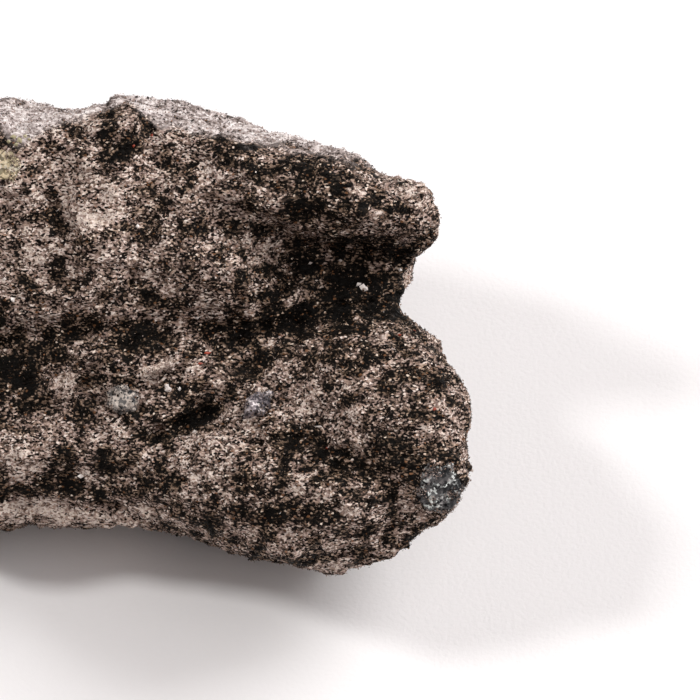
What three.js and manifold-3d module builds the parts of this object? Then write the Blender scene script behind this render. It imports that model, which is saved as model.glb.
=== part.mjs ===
// Alexandrite in mica schist: a hand specimen of dark, grainy schist with four crystals seated in it.
// Units are millimetres and +Z is up. The block lies on a small worn flat under its middle.
//
// The block is described from its broken face, which leans back and looks up at FACE_ELEVATION.
// A place on the face is [a, b, c]: a runs along the block, b runs up the face and c stands out of it.
// The lower half of the face is twisted: it stands out further towards the crystal end.
// The block is a closed skin drawn tight over a distance function. The pockets of the crystals and
// the flat that it lies on are then cut in it.

import * as THREE from "three";
import { ImprovedNoise } from "three/addons/math/ImprovedNoise.js";
import { mergeVertices } from "three/addons/utils/BufferGeometryUtils.js";
import Module from "manifold-3d";

const { clamp, degToRad, lerp, smoothstep } = THREE.MathUtils;

// Driving dimensions of the block
const LENGTH = 91;
const DEPTH = 60;
const HEIGHT = 40;
const FACE_ELEVATION = degToRad(50);
const FACE_HEIGHT = 18;
const FACE_OUT = 12;
const FACE_TILT = degToRad(16);
const FACE_TWIST = 0.012;
const TWIST_FROM = 12;
const CREST_TILT = degToRad(66);
const BACK_OUT = 27;

// Radii over which two surfaces of the block run into each other
const RIM_ROUND = 4;
const EDGE_ROUND = 1.8;
const CREST_ROUND = 1.2;

// Depths between which the relief of the face fades out towards the back
const RELIEF_DEPTHS = [-4, 7];

// Fineness of the skin, and how it is drawn on to the block
const SKIN_DETAIL = 20;
const SKIN_PASSES = 32;
const SETTLING_PASSES = 3;
const SKIN_EASE = 0.6;
const SKIN_STEP = 3;
const PROBE = 0.2;
const REACH_OF_FACE = 40;

// How far a pocket stands clear of its crystal
const POCKET_GAP = 0.3;

// Outline of the block as seen square to the broken face, as [a, b], clockwise from the top left
const OUTLINE = [
  [-13.1, 29.4], [-5.1, 27.5], [-0.4, 28.1], [2.5, 29.5], [10.1, 28.6], [19.6, 25.0], [24.1, 24.5],
  [27.1, 23.5], [29.9, 22.4], [33.8, 19.5], [36.6, 18.5], [38.9, 18.6], [40.5, 17.5], [41.5, 15.6],
  [41.8, 13.0], [41.2, 10.9], [38.1, 7.2], [37.9, 5.2], [36.1, 3.4], [38.4, 1.9], [43.6, -3.5],
  [45.6, -8.8], [45.6, -11.0], [44.5, -13.4], [45.4, -16.0], [45.1, -19.1], [43.9, -21.9], [39.2, -26.0],
  [35.9, -28.6], [32.1, -30.4], [19.6, -29.0], [3.8, -23.6], [-3.9, -24.6], [-7.6, -24.0], [-18.8, -25.5],
  [-25.0, -24.2], [-36.9, -19.2], [-40.9, -14.5], [-44.4, -7.8], [-45.9, 0.0], [-44.6, 8.5],
  [-41.4, 14.5], [-36.6, 21.2], [-25.6, 28.2], [-19.6, 29.2],
];
const OUTLINE_SAMPLES = 150;

// Line where the face turns over on to the bright upper slope, as [a, b] from left to right
const CREST_LINE = [
  [-46, 12], [-36, 18], [-27, 24.5], [-18, 26.2], [-13, 25.2], [-10.6, 23.2], [-8.5, 24.6],
  [-0.6, 27.4], [2.5, 29.2], [5.4, 26.6], [8, 25.2], [19.6, 23.4], [29.4, 21.8], [36.5, 19.2], [42, 19],
];

// Broken planes that bound the block: direction in world X, Y, Z and distance from the face's origin
const BROKEN_PLANES = [
  { toward: [0, 0, -1], out: FACE_HEIGHT + 2.5 },
  { toward: [0.12, 1, -0.1], out: BACK_OUT },
  { toward: [-0.22, 0.92, 0.3], out: BACK_OUT + 2.5 },
  { toward: [0.1, 0.62, -0.78], out: 21.5 },
  { toward: [-0.03, -0.5, -0.87], out: 23.3 },
  { toward: [0.3, 0.8, 0.52], out: 31.5 },
  { toward: [-0.45, 0.8, 0.4], out: 37 },
  { toward: [0.42, 0.9, 0.05], out: 33 },
  { toward: [-0.86, 0.3, 0.42], out: 43 },
  { toward: [-0.6, 0.1, -0.79], out: 29 },
  { toward: [-0.75, -0.6, -0.28], out: 41 },
  { toward: [-0.55, -0.3, 0.78], out: 36 },
  { toward: [0.86, 0.5, -0.1], out: 38.5 },
  { toward: [0.6, 0.12, -0.79], out: 28.5 },
  { toward: [0.55, 0.75, 0.36], out: 38 },
];

// Swellings of the face: centre [a, b], half widths, turn in degrees and rise
const SWELLINGS = [
  { at: [-0.6, 12.5], size: [6.5, 8], turn: 8, rise: 2.6 },
  { at: [11.9, 16.3], size: [5.5, 5], turn: -20, rise: 1.4 },
  { at: [15.5, 8.6], size: [8.5, 5.2], turn: 18, rise: 2.6 },
  { at: [2.4, 25.4], size: [3.6, 3], turn: 0, rise: 2.2 },
  { at: [24, 19.5], size: [9, 4], turn: -12, rise: 1.8 },
  { at: [33, 15.4], size: [9.5, 4.2], turn: -8, rise: 3.6 },
  { at: [35.6, -7.6], size: [10.5, 8.5], turn: -15, rise: 4.2 },
  { at: [27.5, -20.5], size: [11, 5.5], turn: -5, rise: 3.2 },
  { at: [16.5, -17.5], size: [8, 5], turn: 12, rise: 2 },
  { at: [-9.5, -15.4], size: [9.5, 4.2], turn: 4, rise: 3.2 },
  { at: [-29, -8], size: [11, 8], turn: -10, rise: 2.6 },
  { at: [-26, 14], size: [10, 7], turn: 12, rise: 2.2 },
  { at: [-2.6, -4], size: [4, 1.5], turn: 38, rise: 1.2 },
  { at: [6.9, -4.1], size: [3.6, 1.3], turn: 24, rise: 1.1 },
];

// Furrows of the face: the line they follow as [a, b], half width and depth
const FURROWS = [
  { line: [[39, 3.2], [33, 2.6], [27, 1.6], [21, 0.4], [17, -1.6]], width: 2.8, depth: 5 },
  { line: [[17, -1.6], [11, 0.2], [2, 0.8], [-6, 0.2], [-13, -1.4]], width: 2.2, depth: 2.6 },
  { line: [[-13, -1.4], [-24, -0.6], [-38, 2]], width: 3.2, depth: 2.2 },
  { line: [[24, 8.6], [29, 6.8], [36, 6]], width: 4.2, depth: 5.5 },
  { line: [[6.2, 27], [6.6, 21], [5.4, 14], [4.4, 5.6]], width: 1.6, depth: 1.9 },
  { line: [[-6.2, 20], [-5.6, 13], [-6.4, 6]], width: 1.5, depth: 1.5 },
  { line: [[13.6, -9.2], [11.2, -11.2], [7.4, -13.8]], width: 1.9, depth: 2.6 },
  { line: [[-6.8, -18.2], [-1, -18.8], [4.6, -18]], width: 1.8, depth: 1.8 },
  { line: [[-20, 22], [-22, 14], [-19, 6]], width: 2.4, depth: 2.2 },
];

// Ledges of the face, from left to right: it drops below the line and comes back over the reach
const LEDGES = [
  { line: [[18, 14.6], [20.9, 13.1], [24.4, 11.5], [36.9, 11.3], [41.4, 11.8]], drop: 5, reach: 5 },
  { line: [[19.6, -12.6], [24, -12.8], [28.4, -13.4], [32.6, -15.6]], drop: 1.5, reach: 2.6 },
  { line: [[24.4, -15.8], [31, -17.4], [37, -18.6]], drop: 1.3, reach: 2.4 },
  { line: [[-13, -20], [-5, -20.6], [3.8, -20.9]], drop: 2, reach: 3 },
  { line: [[12, 22], [18, 19.2], [23, 18.6]], drop: 1.2, reach: 2.2 },
  { line: [[-44, -4], [-36, -6.4], [-26, -8]], drop: 2, reach: 3.2 },
];
const LEDGE_WALL = 0.8;

// Layering of the schist: [a, b, c] direction across the layers, thickness of a packet of layers, and
// the height of its step, which is greater round the back, where the block split along the layers
const LAYERS = { across: [0.08, 0.91, 0.41], packet: 8, tread: 0.72, step: 0.75, backStep: 2.1 };
const LAYER_WAVE = { wavelength: 22, height: 0.9, seed: 5 };

// Unevenness of the broken planes, and bumps of the stone from large to small
const WARP = { wavelength: 26, height: 3.2, seed: 11 };
const FACE_WARP_SHARE = 0.4;
const BUMPS = [
  { wavelength: 17, height: 1.1, seed: 17 },
  { wavelength: 8.5, height: 0.75, seed: 8.5 },
  { wavelength: 4.6, height: 0.5, seed: 4.6 },
];

// Crystals: middle [a, b] of the outer end, how proud of the stone it stands, [a, b, c] direction that
// it looks in, turn in degrees, radii of the six corners, length, bevel and colour
const CRYSTALS = [
  {
    name: "alexandrite_end", at: [41.2, -19.2], proud: 1.6, toward: [0.45, -0.22, 0.86], turn: 12,
    corners: [3.5, 3.3, 3.7, 3.4, 3.2, 3.6], length: 7, bevel: 0.7, color: 0x1c2b2c,
  },
  {
    name: "alexandrite_face", at: [2.4, -8.7], proud: 0.6, toward: [-0.1, 0.18, 0.98], turn: 20,
    corners: [2, 1.8, 2.1, 1.9, 1.9, 2], length: 4.5, bevel: 0.45, color: 0x4a5c5e,
  },
  {
    name: "alexandrite_seam", at: [19.2, -9.2], proud: 0.6, toward: [-0.1, 0.45, 0.88], turn: 40,
    corners: [2.3, 1.5, 1.5, 2.4, 1.6, 1.5], length: 4, bevel: 0.4, color: 0x6e6f7c,
  },
  {
    name: "chrysoberyl_pale", at: [-13.2, 20.4], proud: 0.6, toward: [-0.05, 0.3, 0.95], turn: 5,
    corners: [2.6, 2.4, 2.8, 2.5, 2.4, 2.7], length: 6, bevel: 0.5, color: 0xb4a878,
  },
];
const CRYSTAL_ROUGHNESS = 0.35;
const SCHIST_COLOR = 0x5b524d;
const SCHIST_ROUGHNESS = 0.85;

// Axes and origin of the face in world X, Y, Z
const FACE_A = new THREE.Vector3(1, 0, 0);
const FACE_B = new THREE.Vector3(0, Math.sin(FACE_ELEVATION), Math.cos(FACE_ELEVATION));
const FACE_C = new THREE.Vector3(0, -Math.cos(FACE_ELEVATION), Math.sin(FACE_ELEVATION));
const FACE_ORIGIN = new THREE.Vector3(0, 0, FACE_HEIGHT);
const UP = new THREE.Vector3(0, 0, 1);

const noise = new ImprovedNoise();

// World direction of an [a, b, c] direction
function directionOnFace([a, b, c]) {
  const direction = FACE_A.clone().multiplyScalar(a);
  return direction.addScaledVector(FACE_B, b).addScaledVector(FACE_C, c).normalize();
}

// World place of an [a, b, c] place
function placeOnFace([a, b, c]) {
  const place = FACE_ORIGIN.clone().addScaledVector(FACE_A, a);
  return place.addScaledVector(FACE_B, b).addScaledVector(FACE_C, c);
}

// Larger of two distances, with the crease between them rounded
function roundedMax(first, second, round) {
  const share = Math.max(round - Math.abs(first - second), 0) / round;
  return Math.max(first, second) + (share * share * round) / 4;
}

// Height of a bump of the stone at a world place, up to its full height either way
function bumpAt({ x, y, z }, { wavelength, height, seed }) {
  return height * noise.noise(x / wavelength + seed, y / wavelength - seed, z / wavelength + 2 * seed);
}

// How far a and b are from a line of [a, b] points, and on which side: 1 is above a line drawn rightwards
function nearestOnLine(line, a, b) {
  let nearest = Infinity;
  let side = 1;
  for (let i = 0; i + 1 < line.length; i++) {
    const [fromA, fromB] = line[i];
    const alongA = line[i + 1][0] - fromA;
    const alongB = line[i + 1][1] - fromB;
    const dot = (a - fromA) * alongA + (b - fromB) * alongB;
    const share = clamp(dot / (alongA ** 2 + alongB ** 2), 0, 1);
    const offA = a - fromA - share * alongA;
    const offB = b - fromB - share * alongB;
    const off = Math.hypot(offA, offB);
    if (off < nearest) {
      nearest = off;
      side = Math.sign(alongA * offB - alongB * offA) || 1;
    }
  }
  return { nearest, side };
}

// The outline as a closed curve of short straight runs
function sampledOutline() {
  const corners = OUTLINE.map(([a, b]) => new THREE.Vector3(a, b, 0));
  const curve = new THREE.CatmullRomCurve3(corners, true, "centripetal");
  return curve.getPoints(OUTLINE_SAMPLES).map(({ x, y }) => [x, y]);
}

const outlineRuns = sampledOutline();

// Distance outside the outline, negative inside it
function outlineDistance(a, b) {
  let inside = false;
  for (let i = 0; i + 1 < outlineRuns.length; i++) {
    const [a0, b0] = outlineRuns[i];
    const [a1, b1] = outlineRuns[i + 1];
    const crosses = b0 > b !== b1 > b;
    if (crosses && a < a0 + ((b - b0) * (a1 - a0)) / (b1 - b0)) inside = !inside;
  }
  const { nearest } = nearestOnLine(outlineRuns, a, b);
  return inside ? -nearest : nearest;
}

// Height b of the crest line at a
function crestHeight(a) {
  const next = CREST_LINE.findIndex(([crestA]) => crestA > a);
  if (next === 0) return CREST_LINE[0][1];
  if (next === -1) return CREST_LINE[CREST_LINE.length - 1][1];
  const [a0, b0] = CREST_LINE[next - 1];
  const [a1, b1] = CREST_LINE[next];
  return lerp(b0, b1, (a - a0) / (a1 - a0));
}

// Rise of a swelling at a and b
function swellingRise({ at, size, turn, rise }, a, b) {
  const angle = degToRad(turn);
  const along = ((a - at[0]) * Math.cos(angle) + (b - at[1]) * Math.sin(angle)) / size[0];
  const across = ((b - at[1]) * Math.cos(angle) - (a - at[0]) * Math.sin(angle)) / size[1];
  return rise * Math.exp(-(along ** 2) - across ** 2);
}

// Depth of a furrow at a and b
function furrowDepth({ line, width, depth }, a, b) {
  return depth * Math.exp(-((nearestOnLine(line, a, b).nearest / width) ** 2));
}

// Depth of a ledge at a and b, which is nothing above its line
function ledgeDepth({ line, drop, reach }, a, b) {
  const { nearest, side } = nearestOnLine(line, a, b);
  return side > 0 ? 0 : drop * Math.exp(-((nearest / reach) ** 2)) * smoothstep(nearest, 0, LEDGE_WALL);
}

// Relief of the broken face, positive where it stands out
function relief(a, b) {
  const rises = SWELLINGS.reduce((sum, swelling) => sum + swellingRise(swelling, a, b), 0);
  const furrows = FURROWS.reduce((sum, furrow) => sum + furrowDepth(furrow, a, b), 0);
  const ledges = LEDGES.reduce((sum, ledge) => sum + ledgeDepth(ledge, a, b), 0);
  return rises - furrows - ledges;
}

const layersAcross = new THREE.Vector3(...LAYERS.across).normalize();

// Stepped edges of the layers: each packet swells slowly and drops back quickly
function layerRise(face, place, front) {
  const across = face.dot(layersAcross) / LAYERS.packet + bumpAt(place, LAYER_WAVE);
  const share = across - Math.floor(across);
  const ramp = share < LAYERS.tread ? share / LAYERS.tread : (1 - share) / (1 - LAYERS.tread);
  return lerp(LAYERS.backStep, LAYERS.step, front) * (ramp - 0.5);
}

const brokenPlanes = BROKEN_PLANES.map(({ toward, out }) => {
  return { normal: new THREE.Vector3(...toward).normalize(), out };
});

// Distance outside the block at a world place, negative inside it
function blockDistance(place) {
  const fromOrigin = place.clone().sub(FACE_ORIGIN);
  const face = new THREE.Vector3(fromOrigin.dot(FACE_A), fromOrigin.dot(FACE_B), fromOrigin.dot(FACE_C));
  const warp = bumpAt(place, WARP);
  const front = smoothstep(face.z, ...RELIEF_DEPTHS);
  const twist = face.y < 0 ? FACE_TWIST * (face.x - TWIST_FROM) : 0;
  const overFace = face.z - FACE_OUT + face.y * (Math.tan(FACE_TILT) + twist);
  const overCrest = face.y - crestHeight(face.x);

  let distance = overFace * Math.cos(FACE_TILT) + FACE_WARP_SHARE * warp - front * relief(face.x, face.y);
  const upperSlope = overCrest * Math.sin(CREST_TILT) + overFace * Math.cos(CREST_TILT);
  distance = roundedMax(distance, upperSlope, CREST_ROUND);
  for (const { normal, out } of brokenPlanes) {
    distance = roundedMax(distance, fromOrigin.dot(normal) - out + warp, EDGE_ROUND);
  }
  distance = roundedMax(distance, outlineDistance(face.x, face.y), RIM_ROUND);
  for (const bump of BUMPS) distance -= bumpAt(place, bump);
  return distance - layerRise(face, place, front);
}

// A world place moved towards the block's surface the steepest way, by one step at most
function pulledToBlock(place) {
  const here = blockDistance(place);
  const rise = new THREE.Vector3();
  for (const axis of ["x", "y", "z"]) {
    const beside = place.clone();
    beside[axis] += PROBE;
    rise[axis] = (blockDistance(beside) - here) / PROBE;
  }
  const slope = Math.max(rise.length(), 0.5);
  const step = clamp(here / slope, -SKIN_STEP, SKIN_STEP);
  return place.clone().addScaledVector(rise.normalize(), -step);
}

// Geometry with only its positions left and its shared corners merged
function welded(geometry) {
  const bare = geometry.clone();
  for (const name of Object.keys(bare.attributes)) if (name !== "position") bare.deleteAttribute(name);
  return mergeVertices(bare);
}

// Neighbours of each corner of an indexed geometry
function neighboursOf(geometry) {
  const count = geometry.getAttribute("position").count;
  const neighbours = Array.from({ length: count }, () => new Set());
  const index = geometry.index.array;
  for (let i = 0; i < index.length; i += 3) {
    for (let k = 0; k < 3; k++) {
      neighbours[index[i + k]].add(index[i + ((k + 1) % 3)]);
      neighbours[index[i + k]].add(index[i + ((k + 2) % 3)]);
    }
  }
  return neighbours.map((set) => [...set]);
}

// The middle of some corners
function middleOf(corners) {
  const sum = corners.reduce((total, corner) => total.add(corner), new THREE.Vector3());
  return sum.divideScalar(corners.length);
}

// A ball of even triangles drawn tight over the block, its corners kept evenly spread meanwhile
function blockSkin() {
  const ball = welded(new THREE.IcosahedronGeometry(0.5, SKIN_DETAIL));
  ball.scale(LENGTH, DEPTH, HEIGHT).translate(0, 0, FACE_HEIGHT);
  const position = ball.getAttribute("position");
  const neighbours = neighboursOf(ball);
  let corners = neighbours.map((_, i) => new THREE.Vector3().fromBufferAttribute(position, i));
  for (let pass = 1; pass <= SKIN_PASSES; pass++) {
    const ease = pass > SKIN_PASSES - SETTLING_PASSES ? 0 : SKIN_EASE;
    corners = corners.map((corner, i) => {
      const middle = middleOf(neighbours[i].map((k) => corners[k]));
      return pulledToBlock(middle.lerp(corner, 1 - ease));
    });
  }
  corners.forEach(({ x, y, z }, i) => position.setXYZ(i, x, y, z));
  return ball;
}

const skin = blockSkin();

// How far the finished face stands out at a and b
function surfaceOut(a, b) {
  const inwards = FACE_C.clone().negate();
  const ray = new THREE.Raycaster(placeOnFace([a, b, REACH_OF_FACE]), inwards);
  return REACH_OF_FACE - ray.intersectObject(new THREE.Mesh(skin))[0].distance;
}

// A six-sided prism with bevelled ends, grown by a clearance, its outer end at the origin and facing +Z
function prismGeometry({ corners, length, bevel }, clearance) {
  const ring = corners.map((radius, i) => {
    const angle = (i * Math.PI) / 3;
    const reach = radius - bevel + clearance;
    return new THREE.Vector2(reach * Math.cos(angle), reach * Math.sin(angle));
  });
  const depth = length - 2 * bevel + clearance;
  const bevels = { bevelEnabled: true, bevelSegments: 1, bevelSize: bevel, bevelThickness: bevel };
  const prism = new THREE.ExtrudeGeometry(new THREE.Shape(ring), { depth, ...bevels });
  return prism.translate(0, 0, bevel - length - clearance);
}

// A crystal's prism, or with a clearance its pocket, at its place in the block
function seatedPrism(crystal, clearance) {
  const [a, b] = crystal.at;
  const toward = directionOnFace(crystal.toward);
  const look = new THREE.Quaternion().setFromUnitVectors(UP, toward);
  const spin = new THREE.Quaternion().setFromAxisAngle(UP, degToRad(crystal.turn));
  const end = placeOnFace([a, b, surfaceOut(a, b)]).addScaledVector(toward, crystal.proud);
  return prismGeometry(crystal, clearance).applyQuaternion(look.multiply(spin)).translate(...end);
}

const wasm = await Module();
wasm.setup();

// Solid of a closed geometry
function solidOf(geometry) {
  const closed = welded(geometry);
  const vertProperties = closed.getAttribute("position").array;
  const triVerts = new Uint32Array(closed.index.array);
  return new wasm.Manifold(new wasm.Mesh({ numProp: 3, vertProperties, triVerts }));
}

// Geometry of a solid
function geometryOf(solid) {
  const { vertProperties, triVerts } = solid.getMesh();
  const geometry = new THREE.BufferGeometry();
  geometry.setAttribute("position", new THREE.BufferAttribute(vertProperties, 3));
  geometry.setIndex(new THREE.BufferAttribute(triVerts, 1));
  geometry.computeVertexNormals();
  return geometry;
}

// The schist, with the flat that it lies on and the crystals' pockets cut in it
function schistGeometry() {
  const ground = new THREE.BoxGeometry(2 * LENGTH, 2 * LENGTH, LENGTH).translate(0, 0, -LENGTH / 2);
  let schist = solidOf(skin).subtract(solidOf(ground));
  for (const crystal of CRYSTALS) schist = schist.subtract(solidOf(seatedPrism(crystal, POCKET_GAP)));
  return geometryOf(schist);
}

// A named mesh with a material of its own
function namedMesh(name, geometry, color, roughness) {
  const mesh = new THREE.Mesh(geometry, new THREE.MeshStandardMaterial({ color, roughness, metalness: 0 }));
  mesh.name = name;
  return mesh;
}

const specimen = new THREE.Group();
specimen.add(namedMesh("schist", schistGeometry(), SCHIST_COLOR, SCHIST_ROUGHNESS));
for (const crystal of CRYSTALS) {
  specimen.add(namedMesh(crystal.name, seatedPrism(crystal, 0), crystal.color, CRYSTAL_ROUGHNESS));
}

// The origin is under the middle of the specimen, on the surface that it lies on
const middle = new THREE.Box3().setFromObject(specimen).getCenter(new THREE.Vector3());
specimen.position.set(-middle.x, -middle.y, 0);

export default specimen;
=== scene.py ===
"""Alexandrite in mica schist: the finished look of a hand specimen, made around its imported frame.

The stone is a dense copy of the frame's block, cut and roughened into ledges, furrows and layers, and
covered with real grains and mica flakes. The crystals are broken, glassy copies of the frame's prisms
that fill their pockets. Lengths are metres, and sizes given in millimetres say so.
"""
import logging
import math
from collections.abc import Mapping, Sequence
from dataclasses import dataclass, field
from enum import Enum

import bpy
import numpy as np
from mathutils import Matrix, Quaternion, Vector, noise
from mathutils.bvhtree import BVHTree


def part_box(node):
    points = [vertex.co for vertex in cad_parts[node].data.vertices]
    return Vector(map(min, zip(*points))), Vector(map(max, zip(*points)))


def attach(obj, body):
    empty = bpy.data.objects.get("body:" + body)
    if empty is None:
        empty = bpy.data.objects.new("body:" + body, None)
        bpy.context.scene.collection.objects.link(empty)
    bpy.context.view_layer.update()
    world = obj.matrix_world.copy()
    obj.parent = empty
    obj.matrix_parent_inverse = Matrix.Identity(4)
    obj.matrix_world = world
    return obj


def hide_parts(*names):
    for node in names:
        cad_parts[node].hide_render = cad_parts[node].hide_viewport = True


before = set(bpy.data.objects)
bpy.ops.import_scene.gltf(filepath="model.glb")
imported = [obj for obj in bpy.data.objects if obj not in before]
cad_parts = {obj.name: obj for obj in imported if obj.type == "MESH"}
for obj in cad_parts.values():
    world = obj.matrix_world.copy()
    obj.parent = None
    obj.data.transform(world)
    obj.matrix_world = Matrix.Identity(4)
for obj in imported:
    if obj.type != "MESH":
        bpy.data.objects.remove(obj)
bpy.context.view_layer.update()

BODY = "root"
MM = 0.001
LOG = logging.getLogger("specimen")

Colour = tuple[float, float, float]
Stops = tuple[tuple[float, Colour], ...]
Line = tuple[tuple[float, float], ...]
Piece = bpy.types.Object
Socket = bpy.types.NodeSocket


class Slot(Enum):
    """Material slots of the record."""

    SCHIST = "schist"
    ALEXANDRITE = "alexandrite"
    CHRYSOBERYL = "chrysoberyl"


def smooth(value: np.ndarray, low: float, high: float) -> np.ndarray:
    """Rises smoothly from 0 at low to 1 at high.

    Args:
        value: The numbers to grade.
        low: Where the result leaves 0.
        high: Where the result reaches 1.

    Returns:
        An array like value, between 0 and 1.
    """
    share = np.clip((value - low) / (high - low), 0.0, 1.0)
    return share * share * (3.0 - 2.0 * share)


def bumps(places: np.ndarray, wavelength: float, octaves: int = 1, seed: float = 0.0) -> np.ndarray:
    """Smooth noise at many places.

    Args:
        places: Rows of x, y, z.
        wavelength: Size of the largest bumps, in the unit of places.
        octaves: How many sizes of bump are added, each half as large as the last.
        seed: Moves the pattern, so that two calls differ.

    Returns:
        One number per place, about -1 to 1.
    """
    scaled = places / wavelength + seed
    return np.array([noise.fractal(Vector(row), 1.0, 2.0, octaves) for row in scaled])


@dataclass(frozen=True)
class BrokenFace:
    """The leaning broken face: a runs along the block, b up the face and c out of it, all in mm.

    Attributes:
        origin_mm: Where a, b and c are 0, in the frame.
        elevation: How high above the horizon the face looks, in degrees.
        turnover: Line where the face turns over on to the bright upper slope, as (a, b).
        slope_tilt: Tilt of that slope from the face, in degrees.
        layers_across: Direction across the layers of the stone, as (a, b, c).
        layer_stretch: How far the layers' roughness is drawn out along them and across them.
        clear_mm: Height over the face that is outside the whole block.
    """

    origin_mm: tuple[float, float, float] = (0.577, 3.055, 18.0)
    elevation: float = 50.0
    turnover: Line = (
        (-46, 12), (-36, 18), (-27, 24.5), (-18, 26.2), (-13, 25.2), (-10.6, 23.2), (-8.5, 24.6),
        (-0.6, 27.4), (2.5, 29.2), (5.4, 26.6), (8, 25.2), (19.6, 23.4), (29.4, 21.8), (36.5, 19.2),
        (42, 19),
    )
    slope_tilt: float = 66.0
    layers_across: tuple[float, float, float] = (0.08, 0.91, 0.41)
    layer_stretch: tuple[float, float, float] = (3.2, 3.2, 0.8)
    clear_mm: float = 40.0

    def axes(self) -> np.ndarray:
        """Rows of the a, b and c directions in the frame."""
        angle = math.radians(self.elevation)
        sine, cosine = math.sin(angle), math.cos(angle)
        return np.array([[1.0, 0.0, 0.0], [0.0, sine, cosine], [0.0, -cosine, sine]])

    def from_frame(self, places: np.ndarray) -> np.ndarray:
        """Rows of a, b, c in mm for rows of x, y, z in metres."""
        return (places / MM - self.origin_mm) @ self.axes().T

    def to_frame(self, a: float, b: float, c: float) -> Vector:
        """The place in metres of a, b and c in mm."""
        return Vector((np.array([a, b, c]) @ self.axes() + self.origin_mm) * MM)

    def direction(self, a: float, b: float, c: float) -> Vector:
        """The unit direction in the frame of a direction on the face."""
        return Vector(np.array([a, b, c]) @ self.axes()).normalized()

    def layers(self) -> Vector:
        """The unit direction in the frame across the layers."""
        return self.direction(*self.layers_across)

    def layer_turn(self) -> Quaternion:
        """The turn that brings Z across the layers."""
        return Vector((0, 0, 1)).rotation_difference(self.layers())

    def over_crest(self, places: np.ndarray) -> np.ndarray:
        """How far each a, b, c place lies past the line where the face turns over, in mm."""
        line = np.array(self.turnover)
        return places[:, 1] - np.interp(places[:, 0], line[:, 0], line[:, 1])


FACE = BrokenFace()


def line_offset(line: Line, a: np.ndarray, b: np.ndarray) -> tuple[np.ndarray, np.ndarray]:
    """Finds how far places on the face are from a line of points.

    Args:
        line: Points (a, b) in mm.
        a: The places' a.
        b: The places' b.

    Returns:
        The distances in mm, and whether each place lies to the right of the line's direction.
    """
    nearest = np.full(a.shape, np.inf)
    right = np.zeros(a.shape, bool)
    for (a0, b0), (a1, b1) in zip(line, line[1:]):
        along_a, along_b = a1 - a0, b1 - b0
        share = ((a - a0) * along_a + (b - b0) * along_b) / (along_a**2 + along_b**2)
        share = np.clip(share, 0.0, 1.0)
        off_a = a - a0 - share * along_a
        off_b = b - b0 - share * along_b
        off = np.hypot(off_a, off_b)
        closer = off < nearest
        nearest = np.where(closer, off, nearest)
        right = np.where(closer, along_a * off_b - along_b * off_a < 0, right)
    return nearest, right


@dataclass(frozen=True)
class Mound:
    """A swelling of the face, or a pit where its rise is negative.

    Attributes:
        at: Its centre (a, b) in mm.
        size: Its half widths in mm.
        turn: Turn of its first half width from a, in degrees.
        rise: How far it stands out, in mm.
    """

    at: tuple[float, float]
    size: tuple[float, float]
    turn: float
    rise: float

    def height(self, a: np.ndarray, b: np.ndarray) -> np.ndarray:
        """How far it lifts the places a, b."""
        angle = math.radians(self.turn)
        off_a, off_b = a - self.at[0], b - self.at[1]
        along = (off_a * math.cos(angle) + off_b * math.sin(angle)) / self.size[0]
        across = (off_b * math.cos(angle) - off_a * math.sin(angle)) / self.size[1]
        return self.rise * np.exp(-(along**2) - across**2)


@dataclass(frozen=True)
class Furrow:
    """A groove of the face along a line, with its half width and depth in mm."""

    line: Line
    width: float
    depth: float

    def height(self, a: np.ndarray, b: np.ndarray) -> np.ndarray:
        """How far it lifts the places a, b, which is down."""
        nearest, _ = line_offset(self.line, a, b)
        return -self.depth * np.exp(-((nearest / self.width) ** 2))


@dataclass(frozen=True)
class Ledge:
    """A broken edge: the face drops sharply to the right of the line's direction and comes back slowly.

    Attributes:
        line: The edge, as points (a, b) in mm.
        drop: How far the face drops, in mm.
        reach: How far from the edge the face has come back, in mm.
        wall: Width of the drop itself, in mm.
        lip: How far the edge itself stands out, in mm.
    """

    line: Line
    drop: float
    reach: float
    wall: float = 0.45
    lip: float = 0.2

    def height(self, a: np.ndarray, b: np.ndarray) -> np.ndarray:
        """How far it lifts the places a, b."""
        nearest, right = line_offset(self.line, a, b)
        fade = np.exp(-((nearest / self.reach) ** 2))
        below = -self.drop * fade * smooth(nearest, 0.0, self.wall)
        return np.where(right, below, self.lip * np.exp(-((nearest / (2 * self.wall)) ** 2)))


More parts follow.
